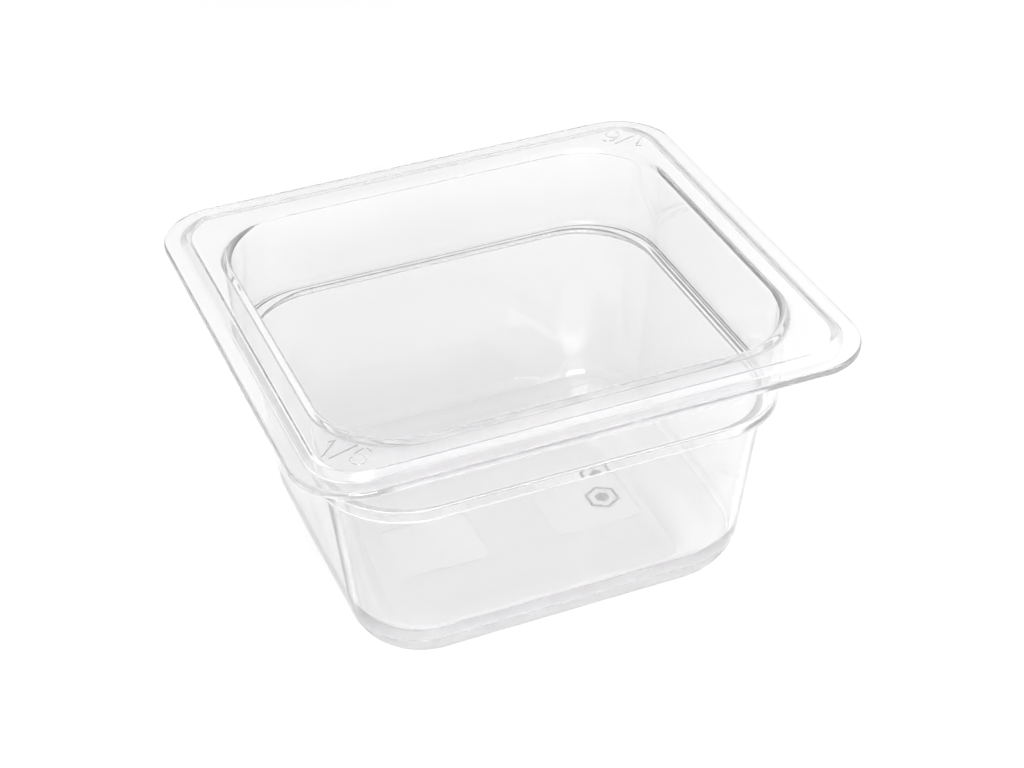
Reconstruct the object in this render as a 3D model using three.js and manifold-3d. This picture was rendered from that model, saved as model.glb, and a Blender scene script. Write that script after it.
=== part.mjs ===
// Clear food pan, 1/6 gastronorm size, 100 mm deep: one injection moulding.
//
// Frame: millimetres, +Z up, origin at the middle of the pan's underside.
// X runs along the 176 mm side of the rim, Y along the 162 mm side.
//
// The wall is one continuous skin. It is described by a chain of level
// rounded-rectangle rings that starts at the middle of the underside, climbs
// the outside, turns over the rim and goes down the inside to the middle of
// the food side of the floor. Each ring is [half X, half Y, corner radius, Z].

import * as THREE from 'three';
import { mergeVertices } from 'three/addons/utils/BufferGeometryUtils.js';
import Module from 'manifold-3d';

// ---- driving dimensions, mm -------------------------------------------------
const RIM_X = 88.0;            // half of the 176 mm side
const RIM_Y = 81.0;            // half of the 162 mm side
const RIM_R = 19.5;            // plan radius of the rim's corners
const HEIGHT = 100.0;          // top of the flange above the underside

const LIP_TOP = 98.3;          // the outer band of the flange lies lower than its middle
const LIP_BOTTOM = 95.9;       // underside of that band, which hangs in a counter cut-out
const LIP_EDGE = 0.7;          // edge radius of the lip
const STEP_TOP = 7.15;          // rim edge to the top of the step
const STEP_FOOT = 5.06;         // rim edge to the foot of the step
const STEP_R = 13.5;           // plan radius of the step's top edge
const FLANGE_UNDER = 98.1;     // underside of the raised flange
const RAMP_IN = 8.4;           // rim edge to the upper end of the step's underside
const RAMP_OUT = 5.7;          // and to its lower end

const WALL = 2.4;              // wall thickness of the body
const UPPER_IN_X = 72.4;       // food side of the upper wall where it meets the mouth's rounding
const UPPER_IN_Y = 64.5;
const UPPER_IN_R = 26.4;
const MOUTH_ROUND = 1.3;       // radius of the turn from the flange down into the mouth
const UPPER_OUT_X = 74.7;      // outside of the upper wall under the flange
const UPPER_OUT_Y = 66.9;
const UPPER_OUT_R = 28.0;
const UNDER_ROUND = 0.8;       // radius between it and the flange's underside

const LEDGE_X = 71.15;          // the stacking shoulder: food side of the upper wall at its foot
const LEDGE_Y = 63.1;
const LEDGE_R = 25.5;
const LEDGE_TOP = 72.0;
const FOOT_X = 73.5;           // and its outside edge
const FOOT_Y = 65.35;
const FOOT_PLAN_R = 26.9;
const LEDGE_UNDER = 69.4;

const BODY_X = 70.5;           // outside of the lower wall at BODY_TOP
const BODY_Y = 62.5;
const BODY_R = 28.0;
const BODY_TOP = 68.0;
const TAPER_X = 0.111;         // mm in for each mm down
const TAPER_Y = 0.131;
const BODY_FOOT_R = 21.4;      // plan radius where the bottom fillet starts
const FILLET_OUT = 21.0;       // bottom fillet, outside
const FILLET_IN = 22.5;        // bottom fillet, food side
const FLOOR = 2.8;             // floor thickness

const PANEL_DEPTH = 0.25;      // two shallow panels moulded into the underside
const PANELS = [               // [x0, y0, x1, y1, corner radius]
  [-40.0, -9.0, -9.0, 16.0, 2.5],
  [14.5, -9.0, 46.0, 16.0, 2.5],
];

const MARK_HEIGHT = 0.25;      // raised size fraction on two opposite corners of the flange
const MARK_X = -72.0;
const MARK_Y = -63.5;

const ARC = 8;                 // segments in one plan corner

// ---- one ring ---------------------------------------------------------------
function ring([hx, hy, r, z]) {
  const pts = [];
  const corners = [[1, -1, -90], [1, 1, 0], [-1, 1, 90], [-1, -1, 180]];
  for (const [sx, sy, start] of corners) {
    for (let i = 0; i <= ARC; i++) {
      const a = THREE.MathUtils.degToRad(start + (90 * i) / ARC);
      pts.push([sx * (hx - r) + r * Math.cos(a), sy * (hy - r) + r * Math.sin(a), z]);
    }
  }
  return pts;
}

const lerp = (a, b, t) => a + (b - a) * t;

// ---- the chain of rings -----------------------------------------------------
function chain() {
  const s = [];
  const add = (hx, hy, r, z) => s.push([hx, hy, r, z]);
  const draft = Math.atan((TAPER_X + TAPER_Y) / 2);
  const bodyX = (z) => BODY_X - TAPER_X * (BODY_TOP - z);
  const bodyY = (z) => BODY_Y - TAPER_Y * (BODY_TOP - z);
  const bodyR = (z) => lerp(BODY_FOOT_R, BODY_R, (z - 20) / (BODY_TOP - 20));

  // underside and outer bottom fillet
  const zOut = FILLET_OUT * (1 - Math.sin(draft));
  const runOut = FILLET_OUT * Math.cos(draft);
  const steps = 8;
  for (let i = 0; i <= steps; i++) {
    const a = (Math.PI / 2 - draft) * (i / steps);
    const out = FILLET_OUT * Math.sin(a) - runOut;
    add(bodyX(zOut) + out, bodyY(zOut) + out, bodyR(zOut) + out * 0.6, FILLET_OUT * (1 - Math.cos(a)));
  }
  // lower wall, outside
  for (const z of [34, 51, BODY_TOP]) add(bodyX(z), bodyY(z), bodyR(z), z);
  // underside of the stacking shoulder
  add(BODY_X + 0.35, BODY_Y + 0.35, 28.2, 68.9);
  add(BODY_X + 1.2, BODY_Y + 1.1, 27.9, LEDGE_UNDER);
  add(FOOT_X - 0.5, FOOT_Y - 0.5, FOOT_PLAN_R - 0.5, LEDGE_UNDER);
  add(FOOT_X - 0.15, FOOT_Y - 0.15, FOOT_PLAN_R - 0.15, LEDGE_UNDER + 0.15);
  add(FOOT_X, FOOT_Y, FOOT_PLAN_R, LEDGE_UNDER + 0.5);
  // upper wall, outside, and its turn out under the flange
  const turnOut = (c) => add(UPPER_OUT_X + c, UPPER_OUT_Y + c, UPPER_OUT_R + c, FLANGE_UNDER - UNDER_ROUND + Math.sqrt(UNDER_ROUND ** 2 - (UNDER_ROUND - c) ** 2));
  for (const k of [0, 0.3, 1]) turnOut(UNDER_ROUND * k);
  // underside of the flange, the step and the lip
  add(RIM_X - RAMP_IN, RIM_Y - RAMP_IN, STEP_R - 0.3, FLANGE_UNDER);
  add(RIM_X - RAMP_OUT, RIM_Y - RAMP_OUT, STEP_R + 0.7, LIP_BOTTOM);
  add(RIM_X - LIP_EDGE, RIM_Y - LIP_EDGE, RIM_R - LIP_EDGE, LIP_BOTTOM);
  add(RIM_X - LIP_EDGE * 0.29, RIM_Y - LIP_EDGE * 0.29, RIM_R - LIP_EDGE * 0.29, LIP_BOTTOM + LIP_EDGE * 0.29);
  add(RIM_X, RIM_Y, RIM_R, LIP_BOTTOM + LIP_EDGE);
  add(RIM_X, RIM_Y, RIM_R, LIP_TOP - LIP_EDGE);
  add(RIM_X - LIP_EDGE * 0.29, RIM_Y - LIP_EDGE * 0.29, RIM_R - LIP_EDGE * 0.29, LIP_TOP - LIP_EDGE * 0.29);
  add(RIM_X - LIP_EDGE, RIM_Y - LIP_EDGE, RIM_R - LIP_EDGE, LIP_TOP);
  // top of the lip, the step, the raised flange
  add(RIM_X - STEP_FOOT, RIM_Y - STEP_FOOT, STEP_R + 1.6, LIP_TOP);
  add(RIM_X - STEP_TOP + 0.35, RIM_Y - STEP_TOP + 0.35, STEP_R + 0.3, HEIGHT - 0.25);
  add(RIM_X - STEP_TOP - 0.15, RIM_Y - STEP_TOP - 0.15, STEP_R, HEIGHT);
  // turn down into the mouth
  for (let i = 0; i <= 4; i++) {
    const a = (Math.PI / 2) * (i / 4);
    const d = MOUTH_ROUND * (1 - Math.sin(a));
    add(UPPER_IN_X + d, UPPER_IN_Y + d, UPPER_IN_R + d, HEIGHT - MOUTH_ROUND * (1 - Math.cos(a)));
  }
  // upper wall, food side, and the shoulder
  add(LEDGE_X, LEDGE_Y, LEDGE_R, LEDGE_TOP + 1.2);
  add(LEDGE_X - 0.35, LEDGE_Y - 0.35, LEDGE_R - 0.3, LEDGE_TOP + 0.35);
  add(LEDGE_X - 1.2, LEDGE_Y - 1.2, LEDGE_R - 0.8, LEDGE_TOP);
  const inX = (z) => bodyX(z) - WALL;
  const inY = (z) => bodyY(z) - WALL;
  const inR = (z) => bodyR(z) - WALL;
  add(inX(71) + 0.9, inY(71) + 0.8, 25.9, LEDGE_TOP);
  add(inX(71) + 0.3, inY(71) + 0.27, 25.8, LEDGE_TOP - 0.3);
  add(inX(71), inY(71), inR(71), LEDGE_TOP - 1.0);
  // lower wall, food side
  const zIn = FLOOR + FILLET_IN * (1 - Math.sin(draft));
  for (const z of [54, 38]) add(inX(z), inY(z), inR(z), z);
  // bottom fillet, food side, and floor
  const runIn = FILLET_IN * Math.cos(draft);
  for (let i = steps; i >= 0; i--) {
    const a = (Math.PI / 2 - draft) * (i / steps);
    const out = FILLET_IN * Math.sin(a) - runIn;
    add(inX(zIn) + out, inY(zIn) + out, inR(zIn) + out * 0.55, FLOOR + FILLET_IN * (1 - Math.cos(a)));
  }
  return s;
}

// ---- skin a chain of rings into one closed body ------------------------------
function skin(stations) {
  const rings = stations.map(ring);
  const n = rings[0].length;
  const pos = [];
  const idx = [];
  for (const r of rings) for (const p of r) pos.push(...p);
  for (let k = 0; k + 1 < rings.length; k++) {
    for (let i = 0; i < n; i++) {
      const j = (i + 1) % n;
      const a = k * n + i, b = k * n + j, c = (k + 1) * n + j, d = (k + 1) * n + i;
      idx.push(a, b, c, a, c, d);
    }
  }
  const bottom = pos.length / 3;
  pos.push(0, 0, stations[0][3]);
  const top = pos.length / 3;
  pos.push(0, 0, stations[stations.length - 1][3]);
  const last = (rings.length - 1) * n;
  for (let i = 0; i < n; i++) {
    const j = (i + 1) % n;
    idx.push(bottom, j, i);
    idx.push(top, last + i, last + j);
  }
  const g = new THREE.BufferGeometry();
  g.setAttribute('position', new THREE.Float32BufferAttribute(pos, 3));
  g.setIndex(idx);
  return g;
}

// ---- manifold helpers --------------------------------------------------------
const wasm = await Module();
wasm.setup();

function toSolid(geometry) {
  let g = geometry.clone();
  g.deleteAttribute('normal');
  g.deleteAttribute('uv');
  g = mergeVertices(g, 1e-5);
  return new wasm.Manifold(new wasm.Mesh({
    numProp: 3,
    vertProperties: Float32Array.from(g.attributes.position.array),
    triVerts: Uint32Array.from(g.index.array),
  }));
}

function toGeometry(solid) {
  const m = solid.getMesh();
  const g = new THREE.BufferGeometry();
  g.setAttribute('position', new THREE.BufferAttribute(Float32Array.from(m.vertProperties), 3));
  g.setIndex(new THREE.BufferAttribute(Uint32Array.from(m.triVerts), 1));
  g.computeVertexNormals();
  return g;
}

// ---- moulded panels in the underside -----------------------------------------
function panelCutter([x0, y0, x1, y1, r]) {
  const sh = new THREE.Shape();
  sh.moveTo(x0 + r, y0);
  sh.lineTo(x1 - r, y0);
  sh.absarc(x1 - r, y0 + r, r, -Math.PI / 2, 0, false);
  sh.lineTo(x1, y1 - r);
  sh.absarc(x1 - r, y1 - r, r, 0, Math.PI / 2, false);
  sh.lineTo(x0 + r, y1);
  sh.absarc(x0 + r, y1 - r, r, Math.PI / 2, Math.PI, false);
  sh.lineTo(x0, y0 + r);
  sh.absarc(x0 + r, y0 + r, r, Math.PI, 1.5 * Math.PI, false);
  const g = new THREE.ExtrudeGeometry(sh, { depth: 1 + PANEL_DEPTH, bevelEnabled: false, curveSegments: 4 });
  g.translate(0, 0, -1);
  return g;
}

// ---- raised size fraction ----------------------------------------------------
// Strokes are outlines in the mark's own plane: +X along the writing, +Y up.
function stroke(points, width) {
  const left = [], right = [];
  for (let i = 0; i < points.length; i++) {
    const p = points[Math.max(0, i - 1)], q = points[Math.min(points.length - 1, i + 1)];
    const d = new THREE.Vector2(q[0] - p[0], q[1] - p[1]).normalize();
    const nx = -d.y * width / 2, ny = d.x * width / 2;
    left.push(new THREE.Vector2(points[i][0] + nx, points[i][1] + ny));
    right.push(new THREE.Vector2(points[i][0] - nx, points[i][1] - ny));
  }
  return new THREE.Shape([...right, ...left.reverse()]);
}

function markStrokes() {
  const w = 0.7;
  const shapes = [];
  shapes.push(stroke([[-4.75, -3.5], [-4.75, 3.9]], w));
  shapes.push(stroke([[-4.9, 3.9], [-6.4, 2.5]], w * 0.9));
  shapes.push(stroke([[-2.4, -3.7], [1.9, 4.2]], w));
  const circle = (r, turn) => Array.from({ length: 20 }, (_, i) => {
    const a = (turn * 2 * Math.PI * i) / 20;
    return new THREE.Vector2(5.05 + r * Math.cos(a), -1.35 + r * Math.sin(a));
  });
  const bowl = new THREE.Shape(circle(2.25 + w / 2, 1));
  bowl.holes.push(new THREE.Path(circle(2.25 - w / 2, -1)));
  shapes.push(bowl);
  const tail = [];
  for (let i = 0; i <= 6; i++) {
    const a = THREE.MathUtils.degToRad(180 - (118 * i) / 6);
    tail.push([5.35 + 2.55 * Math.cos(a), -1.0 + 4.85 * Math.sin(a)]);
  }
  shapes.push(stroke(tail, w));
  return shapes;
}

// ---- build -------------------------------------------------------------------
let solid = toSolid(skin(chain()));
for (const p of PANELS) solid = solid.subtract(toSolid(panelCutter(p)));
for (const turn of [0, Math.PI]) {
  for (const sh of markStrokes()) {
    const g = new THREE.ExtrudeGeometry(sh, { depth: MARK_HEIGHT + 0.6, bevelEnabled: false, curveSegments: 12 });
    g.translate(0, 0, HEIGHT - 0.6);
    g.rotateZ(-Math.PI / 4);
    g.translate(MARK_X, MARK_Y, 0);
    g.rotateZ(turn);
    solid = solid.add(toSolid(g));
  }
}

const pan = new THREE.Mesh(
  toGeometry(solid),
  new THREE.MeshStandardMaterial({
    color: 0xeff1f1, roughness: 0.12, metalness: 0, transparent: true, opacity: 0.4,
  }),
);
pan.name = 'food_pan';

const part = new THREE.Group();
part.add(pan);
export default part;
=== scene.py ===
import math

import bpy
import bmesh
from mathutils import Matrix, Vector

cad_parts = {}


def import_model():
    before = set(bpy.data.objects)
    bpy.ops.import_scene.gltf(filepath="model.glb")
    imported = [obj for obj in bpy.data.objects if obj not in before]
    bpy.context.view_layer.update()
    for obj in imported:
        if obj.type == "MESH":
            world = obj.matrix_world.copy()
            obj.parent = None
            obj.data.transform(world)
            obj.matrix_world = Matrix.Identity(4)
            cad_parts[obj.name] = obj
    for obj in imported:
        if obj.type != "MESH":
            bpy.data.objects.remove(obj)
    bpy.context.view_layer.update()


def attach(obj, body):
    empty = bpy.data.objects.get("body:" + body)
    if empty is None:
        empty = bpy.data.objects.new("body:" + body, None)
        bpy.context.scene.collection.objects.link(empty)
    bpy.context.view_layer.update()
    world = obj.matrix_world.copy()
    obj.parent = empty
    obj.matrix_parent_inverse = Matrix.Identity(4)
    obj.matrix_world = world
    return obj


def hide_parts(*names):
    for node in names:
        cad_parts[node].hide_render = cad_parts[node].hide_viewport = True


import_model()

MM = 0.001

# ---------------------------------------------------------------------------
# Camera: the photograph's viewing angle and perspective.
# ---------------------------------------------------------------------------


def photo_camera():
    az, el, roll = math.radians(-21.899), math.radians(35.381), math.radians(-1.275)
    back = Vector((math.sin(az) * math.cos(el), -math.cos(az) * math.cos(el), math.sin(el)))
    right = Vector((math.cos(az), math.sin(az), 0.0))
    up = back.cross(right)
    r2 = math.cos(roll) * right + math.sin(roll) * up
    u2 = -math.sin(roll) * right + math.cos(roll) * up
    eye = Vector((-1.915, -13.355, 70.0)) + back * 674.235
    data = bpy.data.cameras.new("camera")
    data.sensor_fit = "HORIZONTAL"
    data.sensor_width = 36.0
    data.lens = 2190.713 / 1024 * 36.0
    data.clip_start, data.clip_end = 0.02, 50.0
    data.dof.use_dof = False
    cam = bpy.data.objects.new("camera", data)
    m = Matrix((
        (r2.x, u2.x, back.x, eye.x * MM),
        (r2.y, u2.y, back.y, eye.y * MM),
        (r2.z, u2.z, back.z, eye.z * MM),
        (0, 0, 0, 1),
    ))
    cam.matrix_world = m
    bpy.context.scene.collection.objects.link(cam)
    bpy.context.scene.camera = cam
    return cam


photo_camera()

# ---------------------------------------------------------------------------
# The pan: one skin, as a chain of level rounded-rectangle rings
# (half X, half Y, plan corner radius, Z) in mm, with true fillets between
# the straight runs of its section.
# ---------------------------------------------------------------------------

TAPER_X, TAPER_Y = 0.111, 0.131
BODY_TOP, BODY_X, BODY_Y = 68.0, 70.5, 62.5
WALL, FLOOR = 2.42, 2.8


def body_x(z):
    return BODY_X - TAPER_X * (BODY_TOP - z)


def body_y(z):
    return BODY_Y - TAPER_Y * (BODY_TOP - z)


# corner points of the section, each with its fillet radius
SECTION = [
    # outside, from the underside up
    ((36.0, 27.2, 4.2, 0.0), 0.0),
    ((body_x(0), body_y(0), 20.6, 0.0), 21.0),
    ((body_x(69.4), body_y(69.4), 27.8, 69.4), 1.0),
    ((73.5, 65.35, 26.9, 69.4), 0.5),
    ((74.7, 66.9, 28.0, 98.1), 0.8),
    ((79.6, 72.6, 13.2, 98.1), 0.6),
    ((82.3, 75.3, 14.2, 95.9), 0.7),
    ((88.0, 81.0, 19.5, 95.9), 0.6),
    ((88.0, 81.0, 19.5, 98.3), 0.9),
    # top of the lip, step, flange
    ((82.94, 75.94, 15.1, 98.3), 0.85),
    ((80.85, 73.85, 13.5, 100.0), 0.95),
    # mouth and food side, down
    ((72.4, 64.5, 26.3, 100.0), 1.3),
    ((71.15, 63.1, 25.3, 72.0), 1.3),
    ((body_x(72) - WALL, body_y(72) - WALL, 25.0, 72.0), 1.0),
    ((body_x(2.8) - WALL, body_y(2.8) - WALL, 18.5, FLOOR), 22.5),
    ((33.0, 24.2, 4.0, FLOOR), 0.0),
]


def lerp4(a, b, t):
    return tuple(p + (q - p) * t for p, q in zip(a, b))


def section_stations():
    """The section's corner points turned into a fine chain, with arcs at the fillets and closely spaced rings beside them."""
    pts = [p for p, _ in SECTION]
    rad = [r for _, r in SECTION]
    n = len(pts)

    def length(a, b):
        return math.hypot(b[0] - a[0], b[3] - a[3])

    arcs = []
    for i in range(n):
        if rad[i] == 0:
            arcs.append([pts[i]])
            continue
        v, p, q = pts[i], pts[i - 1], pts[i + 1]
        la, lb = length(p, v), length(v, q)
        a4 = tuple((v[k] - p[k]) / la for k in range(4))
        b4 = tuple((q[k] - v[k]) / lb for k in range(4))
        ax, az, bx, bz = a4[0], a4[3], b4[0], b4[3]
        turn = math.acos(max(-1, min(1, ax * bx + az * bz)))
        tan = rad[i] * math.tan(turn / 2)
        seg = max(3, int(round(math.degrees(turn) / 7.5)))
        if rad[i] > 10:
            seg = 52
        # unit normal towards the arc's centre
        cross = ax * bz - az * bx
        s = 1 if cross > 0 else -1
        nx, nz = -az * s, ax * s
        out = []
        for k in range(seg + 1):
            th = turn * k / seg
            # position relative to the arc's start, in the section plane
            px = rad[i] * (math.sin(th) * ax + (1 - math.cos(th)) * nx)
            pz = rad[i] * (math.sin(th) * az + (1 - math.cos(th)) * nz)
            # relative to the corner: start is v - tan*a ; solve in the basis (a, b)
            rx, rz = px - tan * ax, pz - tan * az
            det = ax * bz - az * bx
            u = (rx * bz - rz * bx) / det
            w = (ax * rz - az * rx) / det
            out.append(tuple(v[j] + u * a4[j] + w * b4[j] for j in range(4)))
        arcs.append(out)

    chain = list(arcs[0])
    for i in range(1, n):
        a, b = chain[-1], arcs[i][0]
        d = length(a, b)
        marks = []
        if d > 1.2:
            edge = 0.3
            inner = d - 2 * edge
            count = max(1, int(round(inner / 3.2)))
            marks = [edge + inner * k / count for k in range(count + 1)]
        elif d > 0.35:
            marks = [d / 2]
        for m in marks:
            chain.append(lerp4(a, b, m / d))
        chain.extend(arcs[i])
    return chain


ARC, SIDE = 36, 14


def ring(hx, hy, r, z):
    """One level ring of four corner arcs joined by evenly divided straight runs."""
    pts = []
    corners = ((1, -1, -90), (1, 1, 0), (-1, 1, 90), (-1, -1, 180))
    for c, (sx, sy, start) in enumerate(corners):
        cx, cy = sx * (hx - r), sy * (hy - r)
        for i in range(ARC + 1):
            a = math.radians(start + 90.0 * i / ARC)
            pts.append((cx + r * math.cos(a), cy + r * math.sin(a), z))
        nx, ny, _ = corners[(c + 1) % 4][0], corners[(c + 1) % 4][1], 0
        a = math.radians(start + 90)
        ex, ey = cx + r * math.cos(a), cy + r * math.sin(a)
        qx = nx * (hx - r) + r * math.cos(a)
        qy = ny * (hy - r) + r * math.sin(a)
        for k in range(1, SIDE):
            t = k / SIDE
            pts.append((ex + (qx - ex) * t, ey + (qy - ey) * t, z))
    return pts


def pan_mesh(name):
    chain = section_stations()
    verts, faces = [], []
    rings = []

    def add_ring(st):
        base = len(verts)
        pts = ring(*st)
        verts.extend(pts)
        rings.append((base, len(pts)))

    # underside, from its middle out, in level rings
    first, last = chain[0], chain[-1]
    for s in (0.06, 0.25, 0.5, 0.75):
        add_ring((first[0] * s, first[1] * s, first[2] * s, first[3]))
    for st in chain:
        add_ring(st)
    for s in (0.75, 0.5, 0.25, 0.06):
        add_ring((last[0] * s, last[1] * s, last[2] * s, last[3]))
    n = rings[0][1]
    for (a, _), (b, _) in zip(rings, rings[1:]):
        for i in range(n):
            j = (i + 1) % n
            faces.append((a + i, a + j, b + j, b + i))
    faces.append(tuple(reversed([rings[0][0] + i for i in range(n)])))
    faces.append(tuple(rings[-1][0] + i for i in range(n)))
    me = bpy.data.meshes.new(name)
    me.from_pydata([(x * MM, y * MM, z * MM) for x, y, z in verts], [], faces)
    bm = bmesh.new()
    bm.from_mesh(me)
    bmesh.ops.recalc_face_normals(bm, faces=bm.faces)
    bm.to_mesh(me)
    bm.free()
    me.update()
    return me


# ---- relief tools -----------------------------------------------------------


def tube(points, radius, sides=10, close=False):
    """A closed round tube along points in a level plane, with domed ends."""
    verts, faces = [], []
    n = len(points)
    P = [Vector(p) for p in points]

    def tangent(i):
        if close:
            return (P[(i + 1) % n] - P[(i - 1) % n]).normalized()
        return (P[min(i + 1, n - 1)] - P[max(i - 1, 0)]).normalized()

    sections = []
    if close:
        for i in range(n):
            sections.append((P[i], tangent(i), radius))
    else:
        t0, t1 = tangent(0), tangent(n - 1)
        for k in (4, 3, 2, 1):
            a = math.pi / 2 * k / 4.0
            sections.append((P[0] - t0 * radius * math.sin(a), t0, max(radius * math.cos(a), radius * 0.08)))
        for i in range(n):
            sections.append((P[i], tangent(i), radius))
        for k in (1, 2, 3, 4):
            a = math.pi / 2 * k / 4.0
            sections.append((P[-1] + t1 * radius * math.sin(a), t1, max(radius * math.cos(a), radius * 0.08)))
    up = Vector((0, 0, 1))
    for c, t, r in sections:
        side = t.cross(up).normalized()
        for s in range(sides):
            a = 2 * math.pi * s / sides
            verts.append(c + side * (r * math.cos(a)) + up * (r * math.sin(a)))
    m = len(sections)
    for i in range(m if close else m - 1):
        k = (i + 1) % m
        for s in range(sides):
            q = (s + 1) % sides
            faces.append((i * sides + s, i * sides + q, k * sides + q, k * sides + s))
    if not close:
        faces.append(tuple(range(sides)))
        faces.append(tuple(reversed(range((m - 1) * sides, m * sides))))
    me = bpy.data.meshes.new("cutter")
    me.from_pydata([tuple(v) for v in verts], [], faces)
    bm = bmesh.new()
    bm.from_mesh(me)
    bmesh.ops.recalc_face_normals(bm, faces=bm.faces)
    bm.to_mesh(me)
    bm.free()
    return me


def prism(outline, z0, z1):
    """A closed level prism over an outline of (x, y) points."""
    n = len(outline)
    verts = [(x, y, z0) for x, y in outline] + [(x, y, z1) for x, y in outline]
    faces = [tuple(reversed(range(n))), tuple(range(n, 2 * n))]
    for i in range(n):
        j = (i + 1) % n
        faces.append((i, j, n + j, n + i))
    me = bpy.data.meshes.new("cutter")
    me.from_pydata(verts, [], faces)
    bm = bmesh.new()
    bm.from_mesh(me)
    bmesh.ops.recalc_face_normals(bm, faces=bm.faces)
    bm.to_mesh(me)
    bm.free()
    return me


def rounded_box(x0, y0, x1, y1, r, seg=8):
    pts = []
    for cx, cy, start in ((x1 - r, y0 + r, -90), (x1 - r, y1 - r, 0), (x0 + r, y1 - r, 90), (x0 + r, y0 + r, 180)):
        for i in range(seg + 1):
            a = math.radians(start + 90.0 * i / seg)
            pts.append((cx + r * math.cos(a), cy + r * math.sin(a)))
    return pts


def boolean(target, cutters, operation):
    made = []
    for me in cutters:
        o = bpy.data.objects.new("cutter", me)
        bpy.context.scene.collection.objects.link(o)
        made.append(o)
        mod = target.modifiers.new("b", "BOOLEAN")
        mod.operation = operation
        mod.solver = "MANIFOLD"
        mod.object = o
    dg = bpy.context.evaluated_depsgraph_get()
    me = bpy.data.meshes.new_from_object(target.evaluated_get(dg), depsgraph=dg)
    target.modifiers.clear()
    old = target.data
    target.data = me
    bpy.data.meshes.remove(old)
    for o in made:
        data = o.data
        bpy.data.objects.remove(o)
        bpy.data.meshes.remove(data)


# raised size fraction: strokes half sunk in the flange, top 0.25 mm proud
STROKE_R = 0.36
STROKE_Z = 100.25 - STROKE_R


def mark_paths():
    """The strokes of the size fraction in its own plane: +X along the writing, +Y up, mm."""
    one = [(-6.3, 2.6), (-5.4, 3.3), (-4.75, 3.95), (-4.75, 2.0), (-4.75, 0.0), (-4.75, -2.0), (-4.75, -3.6)]
    slash = [(-2.4 + 4.3 * k / 6, -3.75 + 8.0 * k / 6) for k in range(7)]
    bowl = [(5.05 + 2.2 * math.cos(2 * math.pi * k / 28), -1.4 + 2.2 * math.sin(2 * math.pi * k / 28)) for k in range(28)]
    tail = []
    for k in range(13):
        a = math.radians(180 - 118 * k / 12)
        tail.append((5.35 + 2.5 * math.cos(a), -1.4 + 5.3 * math.sin(a)))
    return [(one, False), (slash, False), (bowl, True), (tail, False)]


def mark_cutters(turn):
    made = []
    rot = Matrix.Rotation(turn, 3, "Z")
    tilt = Matrix.Rotation(math.radians(-45), 3, "Z")
    for path, close in mark_paths():
        pts = []
        for x, y in path:
            p = tilt @ Vector((x, y, 0)) + Vector((-72.0, -63.5, 0))
            p = rot @ p
            pts.append((p.x * MM, p.y * MM, STROKE_Z * MM))
        made.append(tube(pts, STROKE_R * MM, close=close))
    return made


FOOT_TOP = 16.0
PANELS = ((-40.0, -9.0, -9.0, 16.0, 2.5), (14.5, -9.0, 46.0, 16.0, 2.5))

pan = bpy.data.objects.new("clear_pan", pan_mesh("clear_pan"))
bpy.context.scene.collection.objects.link(pan)
boolean(pan, mark_cutters(0.0) + mark_cutters(math.pi), "UNION")
boolean(
    pan,
    [prism([(x * MM, y * MM) for x, y in rounded_box(*p)], -0.5 * MM, 0.25 * MM) for p in PANELS],
    "DIFFERENCE",
)
pan.data.shade_smooth() if hasattr(pan.data, "shade_smooth") else None
for p in pan.data.polygons:
    p.use_smooth = True
pan.data.set_sharp_from_angle(angle=math.radians(34))

# the finer-grained mould texture of the outer foot fillet, as a weight on the mesh
foot = pan.data.attributes.new("foot", "FLOAT", "POINT")
for v, slot in zip(pan.data.vertices, foot.data):
    z = v.co.z / MM
    slot.value = 0.0 if v.normal.z > -0.05 or z < 0.3 else max(0.0, min(1.0, (FOOT_TOP - z) / 1.5))

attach(pan, "root")
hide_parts("food_pan")

# ---------------------------------------------------------------------------
# Material
# ---------------------------------------------------------------------------


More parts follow.
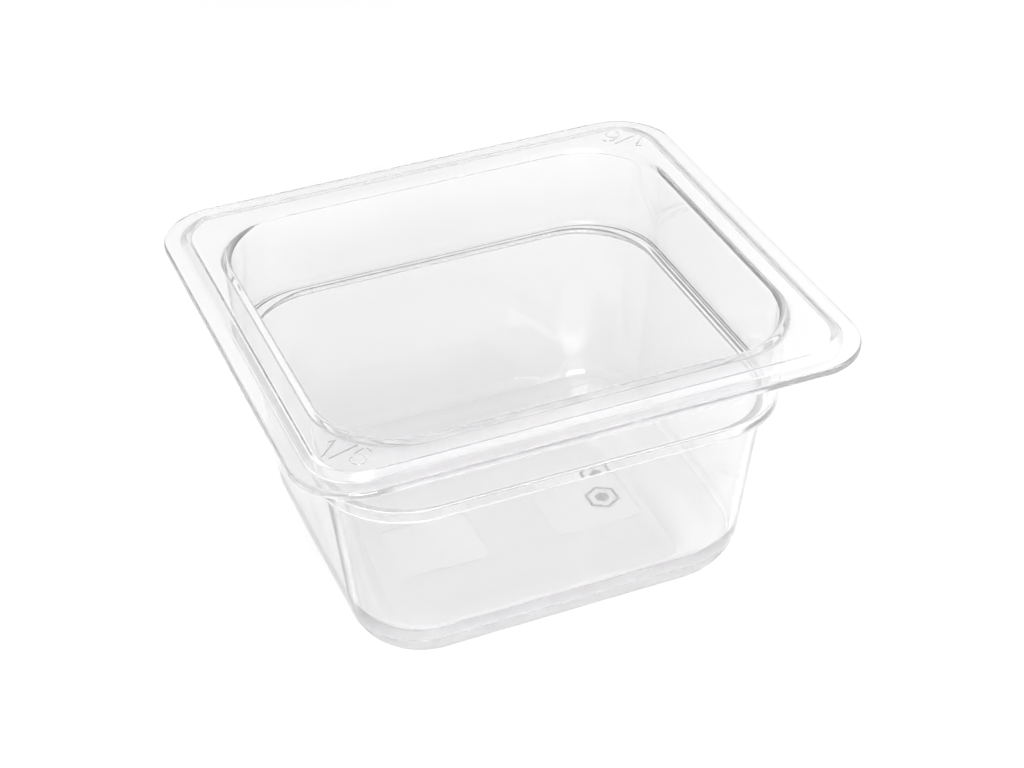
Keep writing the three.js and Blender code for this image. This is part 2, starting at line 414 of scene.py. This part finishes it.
def clear_plastic():
    """Clear moulded polycarbonate: a little haze, faint flow waviness, handling scuffs, two textured panels and a printed
    generic mark under the floor. Coordinates are the pan's own, in mm."""
    mat = bpy.data.materials.new("clear_polycarbonate")
    mat.use_nodes = True
    nt = mat.node_tree
    nt.nodes.clear()
    new, link = nt.nodes.new, nt.links.new

    def put(socket, value):
        if isinstance(value, bpy.types.NodeSocket):
            link(value, socket)
        else:
            socket.default_value = value

    def calc(op, a, b=0.0, c=0.0, clamp=False):
        n = new("ShaderNodeMath")
        n.operation = op
        n.use_clamp = clamp
        put(n.inputs[0], a)
        put(n.inputs[1], b)
        put(n.inputs[2], c)
        return n.outputs[0]

    def remap(v, a, b, c, d):
        n = new("ShaderNodeMapRange")
        put(n.inputs["Value"], v)
        for k, x in (("From Min", a), ("From Max", b), ("To Min", c), ("To Max", d)):
            put(n.inputs[k], x)
        return n.outputs["Result"]

    def noise(vector, scale, detail, rough=0.5):
        n = new("ShaderNodeTexNoise")
        link(vector, n.inputs["Vector"])
        n.inputs["Scale"].default_value = scale
        n.inputs["Detail"].default_value = detail
        n.inputs["Roughness"].default_value = rough
        return n.outputs["Fac"]

    def mix(fac, a, b):
        n = new("ShaderNodeMix")
        n.data_type = "RGBA"
        put(n.inputs[0], fac)
        put(n.inputs[6], a)
        put(n.inputs[7], b)
        return n.outputs[2]

    tc = new("ShaderNodeTexCoord")
    mm = new("ShaderNodeVectorMath")
    mm.operation = "SCALE"
    link(tc.outputs["Object"], mm.inputs[0])
    mm.inputs["Scale"].default_value = 1000.0
    pos = mm.outputs[0]
    xyz = new("ShaderNodeSeparateXYZ")
    link(pos, xyz.inputs[0])
    X, Y, Z = xyz.outputs

    # handling scuffs: thin streaks in two directions, gathered in patches
    def streaks(angle, stretch, seed):
        m = new("ShaderNodeMapping")
        link(pos, m.inputs["Vector"])
        m.inputs["Location"].default_value = (seed, seed * 0.7, 0.0)
        m.inputs["Rotation"].default_value = (0.5, 0.3, math.radians(angle))
        m.inputs["Scale"].default_value = stretch
        return remap(noise(m.outputs[0], 1.0, 1.0), 0.70, 0.76, 0.0, 1.0)

    patches = remap(noise(pos, 0.035, 2.0), 0.45, 0.65, 0.0, 1.0)
    scuff = calc("MULTIPLY", calc("MAXIMUM", streaks(25, (2.4, 0.06, 0.4), 3.0), streaks(-50, (2.0, 0.05, 0.4), 11.0)), patches)
    # fine-textured panels, on the underside only
    under = calc("LESS_THAN", Z, 0.5)

    def inside(x0, y0, x1, y1):
        a = calc("MULTIPLY", calc("GREATER_THAN", X, x0), calc("LESS_THAN", X, x1))
        b = calc("MULTIPLY", calc("GREATER_THAN", Y, y0), calc("LESS_THAN", Y, y1))
        return calc("MULTIPLY", calc("MULTIPLY", a, b), under)

    grain = remap(noise(pos, 0.9, 3.0, 0.6), 0.35, 0.65, 0.0, 1.0)
    panel = calc("MAXIMUM", inside(-39.0, -8.0, -21.0, 15.0), inside(15.5, -8.0, 27.0, 15.0))
    frost = calc("MULTIPLY", panel, grain)
    polished = calc("MAXIMUM", inside(-39.5, -8.5, -9.5, 15.5), inside(15.0, -8.5, 45.5, 15.5))

    # printed generic mark: a hexagonal ring round a small hexagon, on the right-hand panel
    def hexagon(cx, cy):
        u = calc("ABSOLUTE", calc("MULTIPLY", calc("SUBTRACT", X, cx), 1.0))
        v = calc("ABSOLUTE", calc("SUBTRACT", Y, cy))
        return calc("MAXIMUM", u, calc("ADD", calc("MULTIPLY", u, 0.5), calc("MULTIPLY", v, 0.8660254)))

    h = hexagon(MARK_AT[0], MARK_AT[1])
    ring_ = calc("MULTIPLY", calc("GREATER_THAN", h, 4.2), calc("LESS_THAN", h, 5.2))
    dot = calc("LESS_THAN", h, 2.2)
    ink = calc("MULTIPLY", calc("MAXIMUM", ring_, dot), under)

    bsdf = new("ShaderNodeBsdfPrincipled")
    out = new("ShaderNodeOutputMaterial")
    link(bsdf.outputs[0], out.inputs["Surface"])
    cloud = remap(noise(pos, 0.02, 2.0), 0.3, 0.7, 0.0, 1.0)
    base = mix(cloud, CLEAR_A, CLEAR_B)
    base = mix(calc("MULTIPLY", polished, calc("SUBTRACT", 1.0, calc("MULTIPLY", frost, 0.5))), base, CLEAR_PANEL)
    base = mix(ink, base, (0.02, 0.02, 0.025, 1.0))
    put(bsdf.inputs["Base Color"], base)
    rough = calc("ADD", remap(noise(pos, 0.12, 3.0), 0.3, 0.7, 0.01, 0.05), calc("MULTIPLY", scuff, 0.16))
    rough = calc("ADD", rough, calc("MULTIPLY", frost, 0.22))
    foot_weight = new("ShaderNodeAttribute")
    foot_weight.attribute_name = "foot"
    rough = calc("ADD", rough, calc("MULTIPLY", foot_weight.outputs["Fac"], FOOT_ROUGH))
    put(bsdf.inputs["Roughness"], calc("MINIMUM", rough, 0.4))
    bsdf.inputs["Transmission Weight"].default_value = CLARITY
    bsdf.inputs["IOR"].default_value = 1.585
    # flow waviness, scuffs and panel texture as relief of a few micrometres
    wave = noise(pos, 0.045, 1.0)
    height = calc("ADD", calc("MULTIPLY", wave, 0.05), calc("ADD", calc("MULTIPLY", scuff, -0.004), calc("MULTIPLY", frost, 0.02)))
    bump = new("ShaderNodeBump")
    bump.inputs["Strength"].default_value = 1.0
    bump.inputs["Distance"].default_value = MM
    link(height, bump.inputs["Height"])
    link(bump.outputs[0], bsdf.inputs["Normal"])
    return mat


CLARITY = 0.92
FOOT_ROUGH = 0.4
CLEAR_A = (0.893, 0.889, 0.897, 1.0)
CLEAR_B = (0.913, 0.908, 0.912, 1.0)
CLEAR_PANEL = (1.0, 0.997, 0.995, 1.0)
MARK_AT = (36.5, 4.5)

pan.data.materials.clear()
pan.data.materials.append(clear_plastic())

# ---------------------------------------------------------------------------
# Studio
# ---------------------------------------------------------------------------


def floor():
    me = bpy.data.meshes.new("studio_floor")
    s = 6.0
    me.from_pydata([(-s, -s, 0), (s, -s, 0), (s, s, 0), (-s, s, 0)], [], [(0, 1, 2, 3)])
    o = bpy.data.objects.new("studio_floor", me)
    bpy.context.scene.collection.objects.link(o)
    mat = bpy.data.materials.new("studio_floor")
    mat.use_nodes = True
    b = mat.node_tree.nodes["Principled BSDF"]
    b.inputs["Base Color"].default_value = (0.93, 0.93, 0.93, 1)
    b.inputs["Roughness"].default_value = 0.9
    b.inputs["Specular IOR Level"].default_value = 0.0
    me.materials.append(mat)
    o.location.z = -0.0001
    return o


studio_floor = floor()


def area(name, location, target, size, power, size_y=None):
    data = bpy.data.lights.new(name, "AREA")
    data.shape = "RECTANGLE"
    data.size = size
    data.size_y = size_y or size
    data.energy = power
    o = bpy.data.objects.new(name, data)
    o.location = location
    o.rotation_mode = "QUATERNION"
    o.rotation_quaternion = (Vector(target) - Vector(location)).to_track_quat("-Z", "Y")
    bpy.context.scene.collection.objects.link(o)
    return o


def fill(name, location, target, size, power, size_y=None):
    """A softbox whose light passes the clear pan undimmed on its way to the table."""
    o = area(name, location, target, size, power, size_y)
    blockers = bpy.data.collections.new(name + "_blockers")
    blockers.objects.link(studio_floor)
    o.light_linking.blocker_collection = blockers
    return o


fill("overhead", (-0.05, -0.25, 0.75), (0.0, -0.03, 0.0), 0.30, 0.90)
area("key", (-0.26, -0.64, 0.58), (0.0, 0.0, 0.03), 0.45, 1.1)
area("low", (-0.22, -1.17, 0.14), (0.0, 0.0, 0.04), 0.8, 23.5, 0.24)


FLAG_SIDE = (-0.928, 0.373, 0.0)
FLAG_TOP = 0.36


def world():
    w = bpy.data.worlds.new("studio")
    bpy.context.scene.world = w
    w.use_nodes = True
    nt = w.node_tree
    nt.nodes.clear()
    out = nt.nodes.new("ShaderNodeOutputWorld")
    bg = nt.nodes.new("ShaderNodeBackground")
    tc = nt.nodes.new("ShaderNodeTexCoord")
    sep = nt.nodes.new("ShaderNodeSeparateXYZ")
    ramp = nt.nodes.new("ShaderNodeValToRGB")
    nt.links.new(tc.outputs["Generated"], sep.inputs[0])
    nt.links.new(sep.outputs["Z"], ramp.inputs[0])
    # a grey flag low down on either side, for the pan's edges to show against
    aim = nt.nodes.new("ShaderNodeVectorMath")
    aim.operation = "DOT_PRODUCT"
    nt.links.new(tc.outputs["Generated"], aim.inputs[0])
    aim.inputs[1].default_value = FLAG_SIDE
    side = nt.nodes.new("ShaderNodeMapRange")
    side.interpolation_type = "SMOOTHSTEP"
    either = nt.nodes.new("ShaderNodeMath")
    either.operation = "ABSOLUTE"
    nt.links.new(aim.outputs["Value"], either.inputs[0])
    nt.links.new(either.outputs[0], side.inputs["Value"])
    side.inputs["From Min"].default_value, side.inputs["From Max"].default_value = 0.55, 0.75
    low = nt.nodes.new("ShaderNodeMapRange")
    low.interpolation_type = "SMOOTHSTEP"
    nt.links.new(sep.outputs["Z"], low.inputs["Value"])
    low.inputs["From Min"].default_value, low.inputs["From Max"].default_value = FLAG_TOP + 0.1, FLAG_TOP
    both = nt.nodes.new("ShaderNodeMath")
    both.operation = "MULTIPLY"
    nt.links.new(side.outputs[0], both.inputs[0])
    nt.links.new(low.outputs[0], both.inputs[1])
    dark = nt.nodes.new("ShaderNodeMix")
    dark.data_type = "RGBA"
    nt.links.new(both.outputs[0], dark.inputs[0])
    nt.links.new(ramp.outputs[0], dark.inputs[6])
    dark.inputs[7].default_value = (0.38, 0.38, 0.39, 1.0)
    nt.links.new(dark.outputs[2], bg.inputs["Color"])
    nt.links.new(bg.outputs[0], out.inputs["Surface"])
    e = ramp.color_ramp.elements
    stops = ((0.0, 0.52), (0.28, 0.52), (0.36, 1.04), (1.0, 1.04))
    e[0].position, e[0].color = stops[0][0], (stops[0][1],) * 3 + (1,)
    e[1].position, e[1].color = stops[-1][0], (stops[-1][1],) * 3 + (1,)
    for p, v in stops[1:-1]:
        m = e.new(p)
        m.color = (v, v, v, 1)
    bg.inputs["Strength"].default_value = 1.0
    return w


world()

scene = bpy.context.scene
scene.view_settings.view_transform = "Standard"
scene.view_settings.look = "None"
scene.cycles.max_bounces = 24
scene.cycles.transmission_bounces = 24
scene.cycles.glossy_bounces = 12
scene.cycles.diffuse_bounces = 4
scene.cycles.transparent_max_bounces = 16
scene.cycles.sample_clamp_indirect = 8.0
